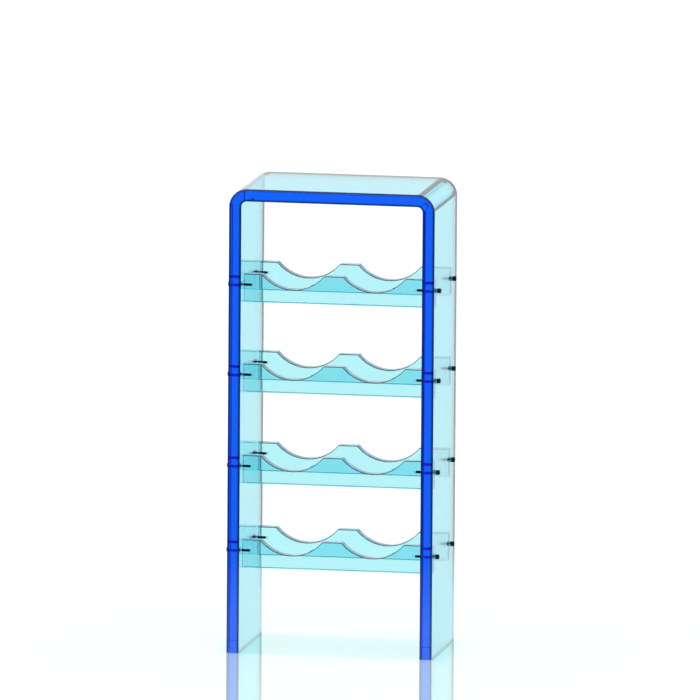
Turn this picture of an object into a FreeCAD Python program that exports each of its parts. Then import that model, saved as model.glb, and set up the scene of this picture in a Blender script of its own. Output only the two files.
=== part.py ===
"""Clear acrylic wine rack: a bent frame with a blue front edge and four tiers of scalloped rails.

Millimetres. +X is to the right, +Y to the back and +Z up. The origin is on the floor, in the middle of
the frame's footprint, so the front edge faces -Y. Tiers are numbered from the lowest, 1 to 4.
"""

import FreeCAD, Part
import math
import os

import Sketcher

DRIVING_SIZES = {
    # the frame, one sheet bent twice into an upside-down U
    "frame_width": 440,
    "frame_depth": 270,
    "frame_height": 990,
    "sheet_thickness": 26,
    "bend_inner_radius": 12,
    # the blue strip bonded along the whole front edge
    "strip_thickness": 3,
    # the scalloped rails
    "rail_thickness": 24,
    "rail_height": 60,
    "trough_radius": 86,
    "trough_depth": 31,
    "trough_spacing": 174,
    "front_rail_inset": 41,
    "rail_spacing": 180,
    # the height of each tier's rails above the floor
    "tier_one_height": 179,
    "tier_two_height": 359,
    "tier_three_height": 554,
    "tier_four_height": 746,
    # the screws, and the holes that they go into
    "screw_rise": 36,
    "shank_diameter": 6,
    "shank_length": 43.5,
    "shank_point": 1,
    "head_diameter": 10.5,
    "head_height": 8,
    "head_rounding": 1.5,
    "socket_across_flats": 5,
    "socket_depth": 4,
    "clearance_diameter": 7,
    "tapped_depth": 22,
    "drill_point": 1.8,
}

# what is worked out from the driving sizes, as expressions
CLEAR_WIDTH = "(Sizes.frame_width - 2 * Sizes.sheet_thickness)"
CLEAR_DEPTH = "(Sizes.frame_depth - Sizes.strip_thickness)"
BEND_OUTER_RADIUS = "Sizes.bend_inner_radius + Sizes.sheet_thickness"
TROUGH_CENTRE_HEIGHT = "Sizes.rail_height - Sizes.trough_depth + Sizes.trough_radius"
RAIL_OFFSETS = {
    "front": "Sizes.front_rail_inset - Sizes.frame_depth / 2",
    "rear": "Sizes.front_rail_inset + Sizes.rail_spacing - Sizes.frame_depth / 2",
}

TIERS = ("one", "two", "three", "four")
SIDES = {"left": -1, "right": 1}

HEXAGON_TURNS = (30, 90, 150, 210, 270, 330)

# how near two places have to be to count as the same one
SMALLEST_EDGE = 1e-4
RIM_TOLERANCE = 0.05

# how a sketch numbers its origin, its two axes and the points of a line, arc or circle
ORIGIN = -1
HORIZONTAL_AXIS = -1
VERTICAL_AXIS = -2
START = 1
END = 2
CENTRE = 3


def make_sheet(doc):
    """The spreadsheet that holds every driving size."""
    sheet = doc.addObject("Spreadsheet::Sheet", "Sizes")
    for row, (alias, value) in enumerate(DRIVING_SIZES.items(), 1):
        sheet.set(f"A{row}", alias)
        sheet.set(f"B{row}", str(value))
        sheet.setAlias(f"B{row}", alias)
    doc.recompute()
    return sheet


def size(doc, alias):
    """The value of one alias as a plain number."""
    return float(doc.Sizes.get(alias))


def new_body(doc, label):
    body = doc.addObject("PartDesign::Body", label)
    body.Label = label
    return body


def new_sketch(body, name, plane):
    """An empty sketch on one of the body's own origin planes."""
    sketch = body.newObject("Sketcher::SketchObject", name)
    origin_plane = next(f for f in body.Origin.OriginFeatures if f.Role == plane)
    sketch.AttachmentSupport = [(origin_plane, "")]
    sketch.MapMode = "FlatFace"
    return sketch


def point(across, up):
    return FreeCAD.Vector(across, up, 0)


def add_line(sketch, start, end):
    return sketch.addGeometry(Part.LineSegment(point(*start), point(*end)), False)


def bind(sketch, kind, arguments, value, expression):
    """Adds one dimension to the sketch and ties it to the spreadsheet."""
    index = sketch.addConstraint(Sketcher.Constraint(kind, *arguments, value))
    sketch.setExpression(f"Constraints[{index}]", expression)
    return index


def constrain(sketch, kind, *arguments):
    sketch.addConstraint(Sketcher.Constraint(kind, *arguments))


def place_vertex(sketch, geometry, position, across, up):
    """Holds one vertex at a place given by two expressions, measured from the sketch's origin."""
    for kind, expression, axis in (("DistanceX", across, VERTICAL_AXIS), ("DistanceY", up, HORIZONTAL_AXIS)):
        if expression == "0":
            constrain(sketch, "PointOnObject", geometry, position, axis)
            continue
        value = float(sketch.evalExpression(expression))
        bind(sketch, kind, (ORIGIN, START, geometry, position), value, expression)


def add_polygon(sketch, corners):
    """A closed outline of straight lines through corners, each a pair of expressions."""
    places = [tuple(float(sketch.evalExpression(e)) for e in corner) for corner in corners]
    count = len(corners)
    lines = [add_line(sketch, places[i], places[(i + 1) % count]) for i in range(count)]
    for i in range(count):
        constrain(sketch, "Coincident", lines[i], END, lines[(i + 1) % count], START)
    for line, corner in zip(lines, corners):
        place_vertex(sketch, line, START, *corner)


def add_circle(sketch, across, up, radius):
    """A circle whose centre and radius are expressions."""
    centre = point(float(sketch.evalExpression(across)), float(sketch.evalExpression(up)))
    value = float(sketch.evalExpression(radius))
    index = sketch.addGeometry(Part.Circle(centre, FreeCAD.Vector(0, 0, 1), value), False)
    bind(sketch, "Radius", (index,), value, radius)
    place_vertex(sketch, index, CENTRE, across, up)


def pad_both_ways(body, sketch, length):
    """Thickens a sketch equally to both sides of its plane."""
    pad = body.newObject("PartDesign::Pad", f"{body.Name}_pad")
    pad.Profile = sketch
    pad.SideType = "Symmetric"
    pad.setExpression("Length", length)
    body.Document.recompute()
    return pad


def cut_right_through(body, sketch, name):
    """Cuts a sketch through everything, to both sides of its plane."""
    pocket = body.newObject("PartDesign::Pocket", f"{body.Name}_{name}")
    pocket.Profile = sketch
    pocket.Type = "ThroughAll"
    pocket.SideType = "Symmetric"
    body.Document.recompute()
    return pocket


def edge_names(shape, wanted):
    """The names of the edges for which wanted(edge) is true."""
    return [f"Edge{i}" for i, edge in enumerate(shape.Edges, 1) if wanted(edge)]


def round_edges(body, base, name, wanted, radius, count):
    """Rounds the chosen edges of a feature. count is how many there have to be."""
    names = edge_names(base.Shape, wanted)
    if len(names) != count:
        raise RuntimeError(f"{body.Label} {name}: {len(names)} edges, not {count}")
    fillet = body.newObject("PartDesign::Fillet", f"{body.Name}_{name}")
    fillet.Base = (base, names)
    fillet.setExpression("Radius", radius)
    body.Document.recompute()
    return fillet


def check_removed(label, before, after, expected, tolerance=0.02):
    """Stops if a cut took away much more or less than it should."""
    removed = before.Volume - after.Volume
    if abs(removed - expected) > tolerance * expected:
        raise RuntimeError(f"{label}: the cut took {removed:.1f} mm3, not {expected:.1f}")


def upside_down_u(body):
    """The outline of the bent sheet seen from the front, still with sharp corners."""
    sketch = new_sketch(body, f"{body.Name}_outline", "XZ_Plane")
    outer = "Sizes.frame_width / 2"
    inner = "Sizes.frame_width / 2 - Sizes.sheet_thickness"
    top = "Sizes.frame_height"
    underside = "Sizes.frame_height - Sizes.sheet_thickness"
    corners = [
        (f"-({outer})", "0"),
        (f"-({outer})", top),
        (outer, top),
        (outer, "0"),
        (inner, "0"),
        (inner, underside),
        (f"-({inner})", underside),
        (f"-({inner})", "0"),
    ]
    add_polygon(sketch, corners)
    return sketch


def bend_corners(body, pad):
    """Turns the four sharp corners of the U into the two round bends of the sheet."""
    doc = body.Document
    half_width = size(doc, "frame_width") / 2
    height = size(doc, "frame_height")
    thickness = size(doc, "sheet_thickness")

    def runs_back_at(edge, across, up):
        box = edge.BoundBox
        runs_back = max(box.XLength, box.ZLength) < SMALLEST_EDGE
        return runs_back and max(abs(abs(box.Center.x) - across), abs(box.Center.z - up)) < SMALLEST_EDGE

    def outer_corner(edge):
        return runs_back_at(edge, half_width, height)

    def inner_corner(edge):
        return runs_back_at(edge, half_width - thickness, height - thickness)

    outside = round_edges(body, pad, "outer_bends", outer_corner, BEND_OUTER_RADIUS, 2)
    return round_edges(body, outside, "inner_bends", inner_corner, "Sizes.bend_inner_radius", 2)


def make_frame(doc):
    """The bent sheet: both sides and the top in one piece, with a screw hole for each rail end."""
    body = new_body(doc, "frame")
    pad = pad_both_ways(body, upside_down_u(body), CLEAR_DEPTH)
    bent = bend_corners(body, pad)
    sketch = new_sketch(body, "frame_screw_holes", "YZ_Plane")
    for tier in TIERS:
        for offset in RAIL_OFFSETS.values():
            across = f"{offset} - Sizes.strip_thickness / 2"
            up = f"Sizes.tier_{tier}_height + Sizes.screw_rise"
            add_circle(sketch, across, up, "Sizes.clearance_diameter / 2")
    drilled = cut_right_through(body, sketch, "screw_clearance")
    hole_area = math.pi * size(doc, "clearance_diameter") ** 2 / 4
    hole_count = len(TIERS) * len(RAIL_OFFSETS) * len(SIDES)
    check_removed("frame", bent.Shape, drilled.Shape, hole_count * hole_area * size(doc, "sheet_thickness"))
    body.setExpression("Placement.Base.y", "Sizes.strip_thickness / 2")
    return body


def make_front_edge_strip(doc):
    """The blue strip, cut to the frame's outline and bonded to its front edge."""
    body = new_body(doc, "front_edge_strip")
    pad = pad_both_ways(body, upside_down_u(body), "Sizes.strip_thickness")
    bend_corners(body, pad)
    body.setExpression("Placement.Base.y", "(Sizes.strip_thickness - Sizes.frame_depth) / 2")
    return body


def cut_tapped_holes(body):
    """A blind hole for a screw in each end of a rail, with the cone that the drill leaves."""
    doc = body.Document
    sketch = new_sketch(body, f"{body.Name}_tapped_outline", "XZ_Plane")
    sketch.setExpression("AttachmentOffset.Base.y", "Sizes.screw_rise")
    end = f"{CLEAR_WIDTH} / 2"
    floor = f"{end} - Sizes.tapped_depth"
    tip = f"{floor} - Sizes.drill_point"
    radius = "Sizes.shank_diameter / 2"
    for sign in ("", "-"):
        corners = [
            (f"{sign}({end})", "0"),
            (f"{sign}({end})", radius),
            (f"{sign}({floor})", radius),
            (f"{sign}({tip})", "0"),
        ]
        add_polygon(sketch, corners)
    groove = body.newObject("PartDesign::Groove", f"{body.Name}_tapped_holes")
    groove.Profile = sketch
    groove.ReferenceAxis = (sketch, ["H_Axis"])
    groove.Angle = 360
    doc.recompute()
    return groove


def make_rail(doc, label, tier, offset):
    """One clear rail: a straight bar with two round troughs that each cradle a bottle."""
    body = new_body(doc, label)
    outline = new_sketch(body, f"{label}_outline", "XZ_Plane")
    half = f"{CLEAR_WIDTH} / 2"
    height = "Sizes.rail_height"
    corners = [(f"-({half})", "0"), (f"-({half})", height), (half, height), (half, "0")]
    add_polygon(outline, corners)
    pad = pad_both_ways(body, outline, "Sizes.rail_thickness")
    troughs = new_sketch(body, f"{label}_trough_outline", "XZ_Plane")
    for sign in ("", "-"):
        add_circle(troughs, f"{sign}(Sizes.trough_spacing / 2)", TROUGH_CENTRE_HEIGHT, "Sizes.trough_radius")
    scalloped = cut_right_through(body, troughs, "troughs")
    radius = size(doc, "trough_radius")
    half_angle = math.acos(1 - size(doc, "trough_depth") / radius)
    segment = radius**2 * (half_angle - math.sin(half_angle) * math.cos(half_angle))
    check_removed(f"{label} troughs", pad.Shape, scalloped.Shape, 2 * segment * size(doc, "rail_thickness"))
    tapped = cut_tapped_holes(body)
    hole_area = math.pi * size(doc, "shank_diameter") ** 2 / 4
    hole_volume = hole_area * (size(doc, "tapped_depth") + size(doc, "drill_point") / 3)
    check_removed(f"{label} tapped holes", scalloped.Shape, tapped.Shape, 2 * hole_volume)
    body.setExpression("Placement.Base.y", offset)
    body.setExpression("Placement.Base.z", f"Sizes.tier_{tier}_height")
    return body


def turn_screw(body):
    """The round head and the shank, turned about the X axis, with the head towards +X."""
    outline = new_sketch(body, f"{body.Name}_outline", "XZ_Plane")
    head = "Sizes.head_height"
    head_radius = "Sizes.head_diameter / 2"
    radius = "Sizes.shank_diameter / 2"
    corners = [
        (head, "0"),
        (head, head_radius),
        ("0", head_radius),
        ("0", radius),
        ("-(Sizes.shank_length - Sizes.shank_point)", radius),
        ("-(Sizes.shank_length)", f"{radius} - Sizes.shank_point"),
        ("-(Sizes.shank_length)", "0"),
    ]
    add_polygon(outline, corners)
    revolution = body.newObject("PartDesign::Revolution", f"{body.Name}_turned")
    revolution.Profile = outline
    revolution.ReferenceAxis = (outline, ["H_Axis"])
    revolution.Angle = 360
    body.Document.recompute()
    return revolution


def cut_hex_socket(body):
    """The hexagonal socket for the key, cut into the outer face of the head."""
    sketch = new_sketch(body, f"{body.Name}_socket_outline", "YZ_Plane")
    sketch.setExpression("AttachmentOffset.Base.z", "Sizes.head_height")
    radius = "Sizes.socket_across_flats / sqrt(3)"
    corners = [(f"{radius} * cos({turn})", f"{radius} * sin({turn})") for turn in HEXAGON_TURNS]
    add_polygon(sketch, corners)
    pocket = body.newObject("PartDesign::Pocket", f"{body.Name}_socket")
    pocket.Profile = sketch
    pocket.setExpression("Length", "Sizes.socket_depth")
    body.Document.recompute()
    return pocket


def make_screw(doc, label, tier, offset, side):
    """One dark screw: through the frame's side and into the end of a rail, head outside."""
    body = new_body(doc, label)
    turned = turn_screw(body)
    head_radius = size(doc, "head_diameter") / 2
    head_height = size(doc, "head_height")

    def outer_rim(edge):
        box = edge.BoundBox
        at_outer_face = abs(box.XMin - head_height) < SMALLEST_EDGE
        return at_outer_face and abs(box.ZLength - 2 * head_radius) < RIM_TOLERANCE

    rounded = round_edges(body, turned, "rounded_rim", outer_rim, "Sizes.head_rounding", 1)
    socketed = cut_hex_socket(body)
    socket_area = math.sqrt(3) / 2 * size(doc, "socket_across_flats") ** 2
    check_removed(f"{label} socket", rounded.Shape, socketed.Shape, socket_area * size(doc, "socket_depth"))
    if side < 0:
        body.Placement = FreeCAD.Placement(FreeCAD.Vector(), FreeCAD.Rotation(FreeCAD.Vector(0, 0, 1), 180))
    body.setExpression("Placement.Base.x", f"{side} * Sizes.frame_width / 2")
    body.setExpression("Placement.Base.y", offset)
    body.setExpression("Placement.Base.z", f"Sizes.tier_{tier}_height + Sizes.screw_rise")
    return body


def check_document(doc, bodies):
    """Stops if any feature failed or any sub-part is not one valid solid."""
    failed = [f"{o.Label}: {o.State}" for o in doc.Objects if {"Invalid", "Error"} & set(o.State)]
    if failed:
        raise RuntimeError("failed features: " + ", ".join(failed))
    for body in bodies:
        shape = body.Shape
        if shape.isNull() or not shape.isValid() or len(shape.Solids) != 1:
            raise RuntimeError(f"{body.Label} is not one valid solid")


def main():
    doc = FreeCAD.newDocument("wine_rack")
    make_sheet(doc)
    bodies = [make_frame(doc), make_front_edge_strip(doc)]
    for number, tier in enumerate(TIERS, 1):
        for row, offset in RAIL_OFFSETS.items():
            bodies.append(make_rail(doc, f"tier_{number}_{row}_rail", tier, offset))
            for hand, side in SIDES.items():
                bodies.append(make_screw(doc, f"tier_{number}_{row}_{hand}_screw", tier, offset, side))
    doc.recompute()
    check_document(doc, bodies)
    os.makedirs("parts", exist_ok=True)
    for body in bodies:
        body.Shape.exportStep(f"parts/{body.Label}.step")
        print(f"{body.Label}: {body.Shape.Volume / 1000:.2f} cm3")


main()
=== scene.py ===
"""The looks of the clear acrylic wine rack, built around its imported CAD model. Everything is in metres."""

import math

import bmesh
import bpy
from mathutils import Matrix, Vector

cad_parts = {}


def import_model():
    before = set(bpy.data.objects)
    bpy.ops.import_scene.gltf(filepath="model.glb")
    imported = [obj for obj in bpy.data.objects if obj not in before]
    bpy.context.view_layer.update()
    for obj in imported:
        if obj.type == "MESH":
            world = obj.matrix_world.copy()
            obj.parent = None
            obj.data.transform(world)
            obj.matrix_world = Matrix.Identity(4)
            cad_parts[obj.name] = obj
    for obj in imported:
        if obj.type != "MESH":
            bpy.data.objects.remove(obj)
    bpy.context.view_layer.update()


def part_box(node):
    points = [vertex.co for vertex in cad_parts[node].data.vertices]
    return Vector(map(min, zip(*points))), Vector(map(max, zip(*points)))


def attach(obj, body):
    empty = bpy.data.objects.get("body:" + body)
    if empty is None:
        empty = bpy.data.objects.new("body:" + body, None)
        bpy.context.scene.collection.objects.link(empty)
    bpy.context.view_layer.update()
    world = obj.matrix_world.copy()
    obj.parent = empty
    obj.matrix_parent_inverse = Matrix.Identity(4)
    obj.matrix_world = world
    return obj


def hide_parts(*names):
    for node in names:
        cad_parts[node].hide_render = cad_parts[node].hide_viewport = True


MM = 0.001

# the rails' troughs
TROUGH_RADIUS = 86 * MM
TROUGH_DEPTH = 31 * MM
TROUGH_SPACING = 174 * MM
TROUGH_SEGMENTS = 56

# the sheet's bends
SHEET_THICKNESS = 26 * MM
BEND_INNER_RADIUS = 12 * MM
BEND_SEGMENTS = 32

# polished edges, and the air gaps left where two clear pieces meet
SHEET_EDGE_ROUNDING = 1.2 * MM
RAIL_EDGE_ROUNDING = 1.5 * MM
STRIP_FRONT_ROUNDING = 2.2 * MM
STRIP_BACK_ROUNDING = 0.3 * MM
FOOT_ROUNDING = 0.8 * MM
EDGE_SEGMENTS = 3
SHARPER_THAN_DEGREES = 20
SMOOTH_BELOW_DEGREES = 50
JOINT_GAP = 0.1 * MM

# the material slots of a clear piece: its body, and the dark line painted along its edges as shade
PAINTED_EDGE_SHADE = 1

# the screws
HEAD_RADIUS = 5.25 * MM
HEAD_HEIGHT = 8 * MM
HEAD_ROUNDING = 1.5 * MM
HEAD_ROUNDING_STEPS = 5
GRIP_DEPTH = 0.18 * MM
GRIP_START = 1.1 * MM
GRIP_MARGIN = 0.25 * MM
SOCKET_ACROSS_FLATS = 5 * MM
SOCKET_DEPTH = 4 * MM
SOCKET_POINT = 0.8 * MM
SOCKET_CHAMFER = 0.3 * MM
SOCKET_MOUTH = 0.6 * MM
SHANK_RADIUS = 2.95 * MM
SHANK_LENGTH = 43.4 * MM
SHANK_POINT = 1 * MM
THREAD_LENGTH = 21 * MM
THREAD_RUN_OUT = 0.4 * MM
THREAD_PITCH = 1.0 * MM
THREAD_DEPTH = 0.5 * MM
THREAD_STEPS = 6
TIP_RADIUS = SHANK_RADIUS - 1.3 * MM
AXIS_RADIUS = 0.01 * MM
SCREW_SEGMENTS = 48
SCREW_SMOOTH_BELOW_DEGREES = 35

# under a screw's head, from its rim to the neck: (place along the screw, radius)
HEAD_UNDERSIDE = (
    (0.8 * MM, HEAD_RADIUS),
    (0.35 * MM, HEAD_RADIUS - 0.1 * MM),
    (0.05 * MM, HEAD_RADIUS - 0.5 * MM),
    (0.05 * MM, SHANK_RADIUS + 0.3 * MM),
    (-0.3 * MM, SHANK_RADIUS),
)

# the screws' holes: clear of the screw in the sheet, and tight in a rail, where the thread bites in
CLEARANCE_RADIUS = 3.5 * MM
TAPPED_RADIUS = 2.4 * MM
TAPPED_DEPTH = 22 * MM
SCREW_RISE = 36 * MM
CUTTER_OVERHANG = 1.8 * MM
HOLE_SEGMENTS = 32

TIERS = (1, 2, 3, 4)
ROWS = ("front", "rear")
HANDS = {"left": -1, "right": 1}

# how acrylic bends light, and how often light may bend or mirror before it is lost
ACRYLIC_IOR = 1.49
LIGHT_BOUNCES = 32

# the floor, the patch of it with a painted shadow of the rack, and where what clear pieces mirror of it goes
# dark
FLOOR_HALF_SIZE = 14
FLOOR_DROP = 0.4 * MM
PAINTED_SHADOW_HALF_WIDTH = 0.26
PAINTED_SHADOW_HALF_DEPTH = 0.16
PAINTED_SHADOW_FADE = 0.05
DARK_FLOOR_Y = -1.5
LIT_FLOOR_Y = -0.5

# how far forward a ray points where the room starts to go dark, and where it is fully dark
ROOM_LIT_Y = -0.2
ROOM_DARK_Y = -0.6

# the camera: far away with a long lens, to the right of the front and a little above
CAMERA_AZIMUTH = 10.38
CAMERA_ELEVATION = 8.6
CAMERA_ROLL = 0.4
CAMERA_DISTANCE = 60.0
CAMERA_TARGET = (0.0165, 0.0, 0.6350)
CAMERA_LENS_MM = 1462


# --- small helpers --------------------------------------------------------------------------------


def new_material(name):
    """A material with only a Principled shader and its output."""
    material = bpy.data.materials.new(name)
    material.use_nodes = True
    shader = material.node_tree.nodes["Principled BSDF"]
    return material, material.node_tree, shader


def add_node(tree, kind, **values):
    """A shader node whose inputs or own settings are set by name."""
    node = tree.nodes.new(kind)
    for key, value in values.items():
        label = key.replace("_", " ")
        if label in node.inputs:
            node.inputs[label].default_value = value
        else:
            setattr(node, key, value)
    return node


def object_noise(tree, scale, detail):
    """Noise in the object's own coordinates, from 0 to 1."""
    coordinates = add_node(tree, "ShaderNodeTexCoord")
    noise = add_node(tree, "ShaderNodeTexNoise", Scale=scale, Detail=detail)
    tree.links.new(coordinates.outputs["Object"], noise.inputs["Vector"])
    return noise.outputs["Fac"]


def ranged(tree, value, low, high):
    """Spreads a value from 0 to 1 over low to high."""
    node = add_node(tree, "ShaderNodeMapRange")
    node.inputs["To Min"].default_value = low
    node.inputs["To Max"].default_value = high
    tree.links.new(value, node.inputs["Value"])
    return node.outputs["Result"]


def ramped(tree, value, first, second):
    """Colours a value from one (position, colour) stop to another."""
    node = add_node(tree, "ShaderNodeValToRGB")
    for element, (position, colour) in zip(node.color_ramp.elements, (first, second)):
        element.position = position
        element.color = (*colour, 1)
    tree.links.new(value, node.inputs["Fac"])
    return node.outputs["Color"]


def mixed(tree, factor, first, second):
    """One colour where a factor is 0, the other where it is 1."""
    node = add_node(tree, "ShaderNodeMix", data_type="RGBA")
    node.inputs["A"].default_value = (*first, 1)
    node.inputs["B"].default_value = (*second, 1)
    tree.links.new(factor, node.inputs["Factor"])
    return node.outputs["Result"]


def add_bump(tree, shader, height, strength, distance):
    """Bends a shader's normal by a height."""
    bump = add_node(tree, "ShaderNodeBump", Strength=strength, Distance=distance)
    tree.links.new(height, bump.inputs["Height"])
    tree.links.new(bump.outputs["Normal"], shader.inputs["Normal"])


def make_object(name, bm, materials):
    """Turns a bmesh into a linked object with the given materials."""
    mesh = bpy.data.meshes.new(name)
    bmesh.ops.recalc_face_normals(bm, faces=bm.faces)
    bm.to_mesh(mesh)
    bm.free()
    for material in materials:
        mesh.materials.append(material)
    piece = bpy.data.objects.new(name, mesh)
    bpy.context.scene.collection.objects.link(piece)
    return piece


def apply_modifiers(piece):
    """Replaces the piece's mesh by what its modifiers make of it."""
    evaluated = piece.evaluated_get(bpy.context.evaluated_depsgraph_get())
    mesh = bpy.data.meshes.new_from_object(evaluated)
    piece.modifiers.clear()
    piece.data = mesh


def shade_with_flat_faces(piece):
    """Smooth shading that keeps large flat faces flat, so that they don't bend what is seen through them."""
    for polygon in piece.data.polygons:
        polygon.use_smooth = True
    piece.data.set_sharp_from_angle(angle=math.radians(SMOOTH_BELOW_DEGREES))
    weighted = piece.modifiers.new("flat_faces", "WEIGHTED_NORMAL")
    weighted.mode = "FACE_AREA"
    weighted.weight = 100
    weighted.keep_sharp = True
    apply_modifiers(piece)


def cut(piece, cutter):
    """Takes the cutter's solid out of the piece and deletes the cutter."""
    boolean = piece.modifiers.new("cut", "BOOLEAN")
    boolean.operation = "DIFFERENCE"
    boolean.solver = "EXACT"
    boolean.object = cutter
    apply_modifiers(piece)
    bpy.data.objects.remove(cutter)


def add_rod(bm, start, end, radius):
    """Adds a closed cylinder between two points to a bmesh."""
    middle = (start + end) / 2
    along = (end - start).to_track_quat("Z", "Y").to_matrix().to_4x4()
    bmesh.ops.create_cone(
        bm,
        cap_ends=True,
        segments=HOLE_SEGMENTS,
        radius1=radius,
        radius2=radius,
        depth=(end - start).length,
        matrix=Matrix.Translation(middle) @ along,
    )


def arc(centre, radius, start_degrees, end_degrees, segments):
    """Points along an arc in the XZ plane, both ends included."""
    points = []
    for step in range(segments + 1):
        angle = math.radians(start_degrees + (end_degrees - start_degrees) * step / segments)
        points.append((centre[0] + radius * math.cos(angle), centre[1] + radius * math.sin(angle)))
    return points


def rounded_slab(outline, front, back, rounding):
    """A bmesh slab with an outline in XZ, from front to back along Y, its edges rounded.

    The rounding along the front of its top gets the painted edge shade.
    """
    bm = bmesh.new()
    face = bm.faces.new([bm.verts.new((x, front, z)) for x, z in outline])
    made = bmesh.ops.extrude_face_region(bm, geom=[face])
    moved = [v for v in made["geom"] if isinstance(v, bmesh.types.BMVert)]
    bmesh.ops.translate(bm, verts=moved, vec=(0, back - front, 0))
    bmesh.ops.recalc_face_normals(bm, faces=bm.faces)
    limit = math.radians(SHARPER_THAN_DEGREES)
    sharp = [e for e in bm.edges if e.calc_face_angle(0) > limit]
    made = bmesh.ops.bevel(
        bm, geom=sharp, offset=rounding, segments=EDGE_SEGMENTS, profile=0.5, affect="EDGES"
    )
    reach = max(x for x, _ in outline) - 2 * rounding
    # the roundings along the front of the top get the painted edge shade
    for face in made["faces"]:
        centre = face.calc_center_median()
        if centre.z > 2 * rounding and abs(centre.x) < reach and centre.y < front + 2 * rounding:
            face.material_index = PAINTED_EDGE_SHADE
    return bm


def section(half_width, front, back, front_rounding, back_rounding, rows):
    """A rounded rectangle as (across, Y, gets the painted edge shade) round its outline, with extra rows on
    its front face.
    """
    points = []
    corners = (
        (half_width, back, back_rounding, 90, 0),
        (half_width, front, front_rounding, 0, -90),
        (-half_width, front, front_rounding, -90, -180),
        (-half_width, back, back_rounding, -180, -270),
    )
    for side, end, rounding, start, stop in corners:
        centre = (side - math.copysign(rounding, side), end + (rounding if end == front else -rounding))
        points += [(x, y, True) for x, y in arc(centre, rounding, start, stop, EDGE_SEGMENTS)]
        points[-1] = (*points[-1][:2], False)
        if (side, end) == (half_width, front):
            flat = half_width - front_rounding
            points += [(flat * (1 - 2 * row / rows), front, False) for row in range(1, rows)]
    return points


def path_along_u(width, height, thickness, inner_radius):
    """The middle of the bent sheet as ((x, z), outward direction), from the left foot to the right one."""
    middle_radius = inner_radius + thickness / 2
    half = (width - thickness) / 2
    bend_x = half - middle_radius
    bend_z = height - thickness / 2 - middle_radius
    stations = [((-half, 0.0), 180), ((-half, FOOT_ROUNDING), 180)]
    for side, start, stop in ((-1, 180, 90), (1, 90, 0)):
        points = arc((side * bend_x, bend_z), middle_radius, start, stop, BEND_SEGMENTS)
        for step, point in enumerate(points):
            stations.append((point, start + (stop - start) * step / BEND_SEGMENTS))
    stations += [((half, FOOT_ROUNDING), 0), ((half, 0.0), 0)]
    return [(point, (math.cos(math.radians(a)), math.sin(math.radians(a)))) for point, a in stations]


def sweep(stations, outline):
    """A closed bmesh that carries a section along a path in XZ. Its ends are drawn in a little and get the
    painted edge shade.
    """
    bm = bmesh.new()
    across = bm.verts.layers.float.new("across")
    half_width = max(x for x, _, _ in outline)
    middle_y = (outline[0][1] + min(y for _, y, _ in outline)) / 2
    rings = []
    for index, ((x, z), (out_x, out_z)) in enumerate(stations):
        at_end = index in (0, len(stations) - 1)
        ring = []
        for offset, y, _ in outline:
            if at_end:
                offset -= math.copysign(FOOT_ROUNDING, offset)
                y -= math.copysign(FOOT_ROUNDING, y - middle_y)
            vertex = bm.verts.new((x + out_x * offset, y, z + out_z * offset))
            vertex[across] = offset / half_width
            ring.append(vertex)
        rings.append(ring)
    for index, (first, second) in enumerate(zip(rings, rings[1:])):
        at_end = index in (0, len(rings) - 2)
        for i, (_, _, is_painted_edge_shade) in enumerate(outline):
            j = (i + 1) % len(outline)
            face = bm.faces.new((first[i], first[j], second[j], second[i]))
            # the roundings and the drawn-in ends get the painted edge shade
            if is_painted_edge_shade or at_end:
                face.material_index = PAINTED_EDGE_SHADE
    bm.faces.new(rings[0])
    bm.faces.new(rings[-1])
    return bm


# --- materials ------------------------------------------------------------------------------------


def add_absorption(tree, colour, density):
    """Tints a solid by its depth. colour is what passes, density how much of the rest one metre takes."""
    volume = add_node(tree, "ShaderNodeVolumeAbsorption")
    volume.inputs["Color"].default_value = (*colour, 1)
    volume.inputs["Density"].default_value = density
    tree.links.new(volume.outputs["Volume"], tree.nodes["Material Output"].inputs["Volume"])


def make_clear_acrylic():
    """Cast acrylic: clear, with a cyan tint that deepens with thickness, and a faintly wavy polish."""
    material, tree, shader = new_material("clear_acrylic")
    shader.inputs["Base Color"].default_value = (0.97, 0.99, 0.99, 1)
    shader.inputs["Transmission Weight"].default_value = 1.0
    shader.inputs["IOR"].default_value = ACRYLIC_IOR
    polish = object_noise(tree, 22.0, 4.0)
    tree.links.new(ranged(tree, polish, 0.0, 0.012), shader.inputs["Roughness"])
    wave = object_noise(tree, 5.0, 1.0)
    add_bump(tree, shader, wave, 0.06, 0.002)
    add_absorption(tree, (0.03, 0.84, 0.94), 28.0)
    return material


def make_painted_edge_shade_material():
    """Painted shade on the narrow polished roundings along the edges: an opaque dark colour in place of the
    dark lines that show where no light comes out of them.
    """
    material, tree, shader = new_material("painted_dark_edge_shade")
    depth = object_noise(tree, 14.0, 3.0)
    # painted shade, varied at random in tone and gloss
    colour = ramped(tree, depth, (0, (0.012, 0.045, 0.05)), (1, (0.035, 0.09, 0.095)))
    tree.links.new(colour, shader.inputs["Base Color"])
    tree.links.new(ranged(tree, depth, 0.08, 0.2), shader.inputs["Roughness"])
    return material


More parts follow.
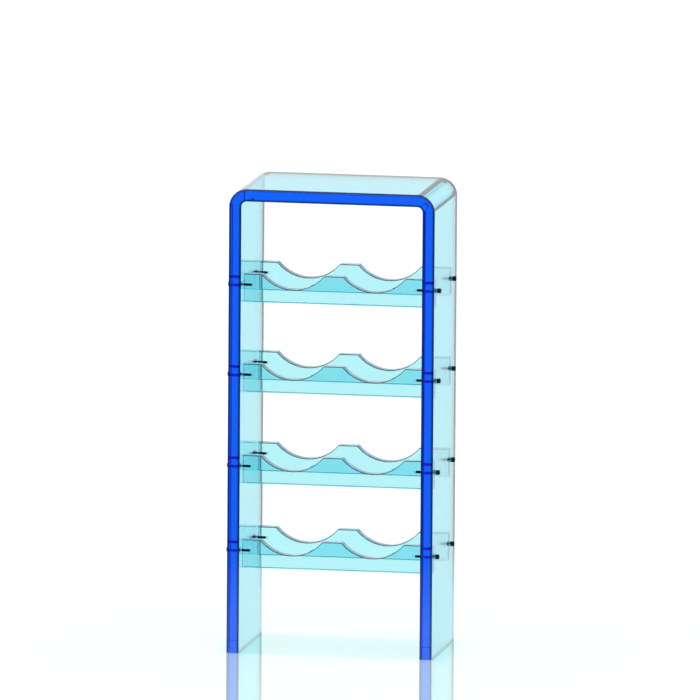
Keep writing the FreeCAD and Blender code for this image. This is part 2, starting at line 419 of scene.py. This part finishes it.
def make_blue_acrylic():
    """The dyed strip: deep blue and clear, lit through the sheet's edge behind it and by a painted blue
    glow, with painted shade darkening it towards its sides.
    """
    material, tree, shader = new_material("blue_edge")
    across = add_node(tree, "ShaderNodeAttribute", attribute_name="across")
    from_middle = add_node(tree, "ShaderNodeMath", operation="ABSOLUTE")
    tree.links.new(across.outputs["Fac"], from_middle.inputs[0])
    sideways = from_middle.outputs["Value"]
    # the strip's own blue in the middle, with painted shade making it dark towards its sides
    tint = ramped(tree, sideways, (0.56, (0.6, 0.9, 1.0)), (0.92, (0.003, 0.006, 0.05)))
    tree.links.new(tint, shader.inputs["Base Color"])
    shader.inputs["Transmission Weight"].default_value = 1.0
    shader.inputs["IOR"].default_value = ACRYLIC_IOR
    # a painted blue glow, though the strip is no lamp, dimming to dark towards its sides
    shader.inputs["Emission Strength"].default_value = 0.22
    glow = ramped(tree, sideways, (0.5, (0.035, 0.05, 1.0)), (0.9, (0.0, 0.005, 0.06)))
    tree.links.new(glow, shader.inputs["Emission Color"])
    polish = object_noise(tree, 30.0, 4.0)
    tree.links.new(ranged(tree, polish, 0.0, 0.03), shader.inputs["Roughness"])
    add_absorption(tree, (0.0, 0.75, 0.985), 1000.0)
    return material


def make_dark_steel():
    """Black oxide on steel, a little uneven in colour, gloss and height."""
    material, tree, shader = new_material("dark_screws")
    shader.inputs["Metallic"].default_value = 0.85
    grain = object_noise(tree, 900.0, 6.0)
    colour = ramped(tree, grain, (0, (0.006, 0.012, 0.015)), (1, (0.022, 0.034, 0.038)))
    tree.links.new(colour, shader.inputs["Base Color"])
    tree.links.new(ranged(tree, grain, 0.28, 0.5), shader.inputs["Roughness"])
    add_bump(tree, shader, grain, 0.15, 0.1 * MM)
    return material


def has_turned(tree, path, depth):
    """1 where a light path has been bent or mirrored, whichever the depth counts, else 0."""
    node = add_node(tree, "ShaderNodeMath", operation="GREATER_THAN")
    node.inputs[1].default_value = 0.5
    tree.links.new(path.outputs[depth], node.inputs[0])
    return node.outputs["Value"]


def multiply(tree, first, second):
    """The product of two values."""
    node = add_node(tree, "ShaderNodeMath", operation="MULTIPLY")
    tree.links.new(first, node.inputs[0])
    tree.links.new(second, node.inputs[1])
    return node.outputs["Value"]


def dark_room(tree):
    """Where the room in front of the stage is seen as a mirror image inside something clear."""
    coordinates = add_node(tree, "ShaderNodeTexCoord")
    split = add_node(tree, "ShaderNodeSeparateXYZ")
    tree.links.new(coordinates.outputs["Generated"], split.inputs["Vector"])
    front = add_node(tree, "ShaderNodeMapRange")
    front.inputs["From Min"].default_value = ROOM_LIT_Y
    front.inputs["From Max"].default_value = ROOM_DARK_Y
    tree.links.new(split.outputs["Y"], front.inputs["Value"])
    path = add_node(tree, "ShaderNodeLightPath")
    mirrored = has_turned(tree, path, "Glossy Depth")
    bent = has_turned(tree, path, "Transmission Depth")
    return multiply(tree, multiply(tree, mirrored, bent), front.outputs["Result"])


def within(tree, value, limit):
    """1 where a coordinate lies well between -limit and limit, fading to 0 at them."""
    size = add_node(tree, "ShaderNodeMath", operation="ABSOLUTE")
    tree.links.new(value, size.inputs[0])
    fade = add_node(tree, "ShaderNodeMapRange")
    fade.interpolation_type = "SMOOTHSTEP"
    fade.inputs["From Min"].default_value = limit
    fade.inputs["From Max"].default_value = limit - PAINTED_SHADOW_FADE
    tree.links.new(size.outputs["Value"], fade.inputs["Value"])
    return fade.outputs["Result"]


def make_floor_material():
    """A white, polished studio floor, with a painted cyan shadow under the rack standing in for light
    through the rack.

    What clear pieces mirror of it is dark in front of the stage, as the room is.
    """
    material, tree, shader = new_material("studio_floor")
    shader.inputs["Emission Strength"].default_value = 0.38
    shader.inputs["Coat Weight"].default_value = 1.0
    coordinates = add_node(tree, "ShaderNodeTexCoord")
    split = add_node(tree, "ShaderNodeSeparateXYZ")
    tree.links.new(coordinates.outputs["Object"], split.inputs["Vector"])
    # where the rack's cyan shadow is painted
    across = within(tree, split.outputs["X"], PAINTED_SHADOW_HALF_WIDTH)
    along = within(tree, split.outputs["Y"], PAINTED_SHADOW_HALF_DEPTH)
    painted_shadow_mask = multiply(tree, across, along)
    # the floor's own pale colour, with the painted shadow of the rack
    tint = mixed(tree, painted_shadow_mask, (0.60, 0.65, 0.65), (0.30, 0.63, 0.60))
    tree.links.new(tint, shader.inputs["Base Color"])
    # the floor's even glow, darker and cyan in the painted shadow of the rack
    glow = mixed(tree, painted_shadow_mask, (0.68, 1.0, 0.93), (0.26, 0.83, 0.77))
    tree.links.new(glow, shader.inputs["Emission Color"])
    shader.inputs["Coat Roughness"].default_value = 0.05
    shader.inputs["Roughness"].default_value = 0.06
    behind = add_node(tree, "ShaderNodeMapRange")
    behind.inputs["From Min"].default_value = DARK_FLOOR_Y
    behind.inputs["From Max"].default_value = LIT_FLOOR_Y
    behind.inputs["To Min"].default_value = 0.01
    behind.inputs["To Max"].default_value = 0.95
    tree.links.new(split.outputs["Y"], behind.inputs["Value"])
    mirrored = add_node(tree, "ShaderNodeEmission", Color=(1, 1, 1, 1))
    tree.links.new(behind.outputs["Result"], mirrored.inputs["Strength"])
    mix = add_node(tree, "ShaderNodeMixShader")
    path = add_node(tree, "ShaderNodeLightPath")
    tree.links.new(has_turned(tree, path, "Glossy Depth"), mix.inputs["Fac"])
    tree.links.new(shader.outputs["BSDF"], mix.inputs[1])
    tree.links.new(mirrored.outputs["Emission"], mix.inputs[2])
    tree.links.new(mix.outputs["Shader"], tree.nodes["Material Output"].inputs["Surface"])
    return material


# --- the bent sheet and its strip -----------------------------------------------------------------


def screw_places():
    """Where each screw crosses the outer face of a side: (node name, point, sign of X)."""
    low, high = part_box("frame")
    half = (high.x - low.x) / 2
    places = []
    for tier in TIERS:
        for row in ROWS:
            rail_low, rail_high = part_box(f"tier_{tier}_{row}_rail")
            middle = (rail_low.y + rail_high.y) / 2
            for hand, sign in HANDS.items():
                point = Vector((sign * half, middle, rail_low.z + SCREW_RISE))
                places.append((f"tier_{tier}_{row}_{hand}_screw", point, sign))
    return places


def make_bent_sheet(materials):
    """The clear frame with its two bends and a clearance hole for every screw."""
    low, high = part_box("frame")
    path = path_along_u(high.x - low.x, high.z, SHEET_THICKNESS, BEND_INNER_RADIUS)
    front = low.y + JOINT_GAP
    outline = section(SHEET_THICKNESS / 2, front, high.y, SHEET_EDGE_ROUNDING, SHEET_EDGE_ROUNDING, 1)
    sheet = make_object("bent_sheet", sweep(path, outline), materials)
    holes = bmesh.new()
    for _, point, sign in screw_places():
        inward = Vector((-sign, 0, 0))
        start = point - inward * SHEET_THICKNESS / 2
        add_rod(holes, start, start + inward * 2 * SHEET_THICKNESS, CLEARANCE_RADIUS)
    cut(sheet, make_object("hole_cutter", holes, []))
    shade_with_flat_faces(sheet)
    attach(sheet, "root")
    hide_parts("frame")


def make_edge_strip(material):
    """The blue strip along the front edge."""
    low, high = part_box("front_edge_strip")
    path = path_along_u(high.x - low.x, high.z, SHEET_THICKNESS, BEND_INNER_RADIUS)
    outline = section(SHEET_THICKNESS / 2, low.y, high.y, STRIP_FRONT_ROUNDING, STRIP_BACK_ROUNDING, 8)
    bm = sweep(path, outline)
    for face in bm.faces:
        face.material_index = 0
    strip = make_object("blue_edge_strip", bm, [material])
    shade_with_flat_faces(strip)
    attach(strip, "root")
    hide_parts("front_edge_strip")


# --- the rails ------------------------------------------------------------------------------------


def rail_outline(length, height):
    """A straight bar with two round troughs in its top, its lower left corner first."""
    half = length / 2
    centre_up = height - TROUGH_DEPTH + TROUGH_RADIUS
    half_angle = math.degrees(math.acos(1 - TROUGH_DEPTH / TROUGH_RADIUS))
    points = [(-half, 0.0), (-half, height)]
    for side in (-1, 1):
        centre = (side * TROUGH_SPACING / 2, centre_up)
        points += arc(centre, TROUGH_RADIUS, 270 - half_angle, 270 + half_angle, TROUGH_SEGMENTS)
    return points + [(half, height), (half, 0.0)]


def make_rail_mesh(materials):
    """One rail about the middle of its own underside, with a tapped hole in each end."""
    low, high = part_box("tier_1_front_rail")
    length = high.x - low.x - 2 * JOINT_GAP
    thickness = high.y - low.y
    outline = rail_outline(length, high.z - low.z)
    bm = rounded_slab(outline, -thickness / 2, thickness / 2, RAIL_EDGE_ROUNDING)
    rail = make_object("rail", bm, materials)
    holes = bmesh.new()
    for sign in HANDS.values():
        mouth = Vector((sign * (length / 2 + CUTTER_OVERHANG), 0, SCREW_RISE))
        floor = Vector((sign * (length / 2 - TAPPED_DEPTH), 0, SCREW_RISE))
        add_rod(holes, mouth, floor, TAPPED_RADIUS)
    cut(rail, make_object("tap_cutter", holes, []))
    shade_with_flat_faces(rail)
    mesh = rail.data
    bpy.data.objects.remove(rail)
    return mesh


def make_rails(materials):
    """Every rail, each its own piece on the same mesh."""
    mesh = make_rail_mesh(materials)
    for tier in TIERS:
        for row in ROWS:
            node = f"tier_{tier}_{row}_rail"
            low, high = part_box(node)
            rail = bpy.data.objects.new(f"tier_{tier}_{row}_scalloped_rail", mesh)
            rail.location = (0, (low.y + high.y) / 2, low.z)
            bpy.context.scene.collection.objects.link(rail)
            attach(rail, "root")
            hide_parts(node)


# --- the screws -----------------------------------------------------------------------------------


def hexagon_radius(angle, across_flats):
    """How far a hexagon's outline lies from its middle at an angle."""
    sixth = math.pi / 3
    return across_flats / 2 / math.cos((angle + sixth / 2) % sixth - sixth / 2)


def screw_rings():
    """The screw's rings from the socket's floor to the tip: (place along X, radius at each angle)."""
    angles = [2 * math.pi * i / SCREW_SEGMENTS for i in range(SCREW_SEGMENTS)]

    def plain(along, radius):
        return along, [radius] * SCREW_SEGMENTS

    def hexagon(along, across_flats):
        return along, [hexagon_radius(a, across_flats) for a in angles]

    def grooved(along, radius, depth):
        return along, [radius - depth * (i % 2) for i in range(SCREW_SEGMENTS)]

    rings = [plain(HEAD_HEIGHT - SOCKET_DEPTH - SOCKET_POINT, AXIS_RADIUS)]
    rings.append(hexagon(HEAD_HEIGHT - SOCKET_DEPTH, SOCKET_ACROSS_FLATS))
    rings.append(hexagon(HEAD_HEIGHT - SOCKET_CHAMFER, SOCKET_ACROSS_FLATS))
    rings.append(plain(HEAD_HEIGHT, SOCKET_ACROSS_FLATS / 2 + SOCKET_MOUTH))
    for step in range(HEAD_ROUNDING_STEPS + 1):
        turn = math.radians(90 - 90 * step / HEAD_ROUNDING_STEPS)
        along = HEAD_HEIGHT - HEAD_ROUNDING + HEAD_ROUNDING * math.sin(turn)
        rings.append(plain(along, HEAD_RADIUS - HEAD_ROUNDING + HEAD_ROUNDING * math.cos(turn)))
    rings.append(grooved(HEAD_HEIGHT - HEAD_ROUNDING - GRIP_MARGIN, HEAD_RADIUS, GRIP_DEPTH))
    rings.append(grooved(GRIP_START, HEAD_RADIUS, GRIP_DEPTH))
    rings += [plain(along, radius) for along, radius in HEAD_UNDERSIDE]
    thread_start = -(SHANK_LENGTH - THREAD_LENGTH)
    rings.append(plain(thread_start + THREAD_RUN_OUT, SHANK_RADIUS))
    step_length = THREAD_PITCH / THREAD_STEPS
    steps = int((THREAD_LENGTH - SHANK_POINT) / step_length)
    for step in range(steps + 1):
        radii = []
        for angle in angles:
            phase = (step / THREAD_STEPS + angle / (2 * math.pi)) % 1
            radii.append(SHANK_RADIUS - THREAD_DEPTH * abs(2 * phase - 1))
        rings.append((thread_start - step * step_length, radii))
    rings.append(plain(-(SHANK_LENGTH - SHANK_POINT / 2), SHANK_RADIUS - THREAD_DEPTH))
    rings.append(plain(-SHANK_LENGTH, TIP_RADIUS))
    rings.append(plain(-SHANK_LENGTH, AXIS_RADIUS))
    return angles, rings


def make_screw_mesh(material):
    """One screw along X: head towards +X with its underside at 0, thread towards -X."""
    angles, rings = screw_rings()
    bm = bmesh.new()
    loops = []
    for along, radii in rings:
        points = [(along, r * math.cos(a), r * math.sin(a)) for r, a in zip(radii, angles)]
        loops.append([bm.verts.new(point) for point in points])
    for first, second in zip(loops, loops[1:]):
        for i in range(SCREW_SEGMENTS):
            j = (i + 1) % SCREW_SEGMENTS
            bm.faces.new((first[i], first[j], second[j], second[i]))
    bm.faces.new(loops[0])
    bm.faces.new(loops[-1])
    screw = make_object("screw", bm, [material])
    for polygon in screw.data.polygons:
        polygon.use_smooth = True
    screw.data.set_sharp_from_angle(angle=math.radians(SCREW_SMOOTH_BELOW_DEGREES))
    mesh = screw.data
    bpy.data.objects.remove(screw)
    return mesh


def make_screws(material):
    """Every screw, each its own piece on the same mesh, turned half round on the left."""
    mesh = make_screw_mesh(material)
    for node, point, sign in screw_places():
        screw = bpy.data.objects.new(node.replace("_screw", "_cap_screw"), mesh)
        screw.location = point
        screw.rotation_euler = (0, 0, 0 if sign > 0 else math.pi)
        bpy.context.scene.collection.objects.link(screw)
        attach(screw, "root")
        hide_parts(node)


# --- the stage, the light and the camera ----------------------------------------------------------


def make_floor():
    """A floor just under the rack's feet."""
    bm = bmesh.new()
    bmesh.ops.create_grid(bm, x_segments=1, y_segments=1, size=FLOOR_HALF_SIZE)
    floor = make_object("studio_floor", bm, [make_floor_material()])
    floor.location = (0, 0, -FLOOR_DROP)


def make_world():
    """White studio light all round, and a dark room in front of the stage."""
    world = bpy.data.worlds.new("studio")
    bpy.context.scene.world = world
    world.use_nodes = True
    tree = world.node_tree
    background = tree.nodes["Background"]
    room = mixed(tree, dark_room(tree), (1, 1, 1), (0.01, 0.02, 0.02))
    tree.links.new(room, background.inputs["Color"])
    background.inputs["Strength"].default_value = 1.0


def make_camera():
    """The camera, aimed from its angles round the target."""
    data = bpy.data.cameras.new("camera")
    data.lens = CAMERA_LENS_MM
    data.clip_start = 1
    data.clip_end = 200
    camera = bpy.data.objects.new("camera", data)
    azimuth = math.radians(CAMERA_AZIMUTH)
    elevation = math.radians(CAMERA_ELEVATION)
    flat = math.cos(elevation)
    back = Vector((math.sin(azimuth) * flat, -math.cos(azimuth) * flat, math.sin(elevation)))
    camera.location = Vector(CAMERA_TARGET) + back * CAMERA_DISTANCE
    level = (-back).to_track_quat("-Z", "Y").to_matrix().to_4x4()
    camera.rotation_euler = (level @ Matrix.Rotation(math.radians(CAMERA_ROLL), 4, "Z")).to_euler()
    bpy.context.scene.collection.objects.link(camera)
    bpy.context.scene.camera = camera


def main():
    """Makes the camera, every piece and the stage."""
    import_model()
    scene = bpy.context.scene
    scene.view_settings.view_transform = "Standard"
    scene.cycles.max_bounces = LIGHT_BOUNCES
    scene.cycles.glossy_bounces = LIGHT_BOUNCES
    scene.cycles.transmission_bounces = LIGHT_BOUNCES
    make_camera()
    acrylic = [make_clear_acrylic(), make_painted_edge_shade_material()]
    make_bent_sheet(acrylic)
    make_edge_strip(make_blue_acrylic())
    make_rails(acrylic)
    make_screws(make_dark_steel())
    make_floor()
    make_world()


main()
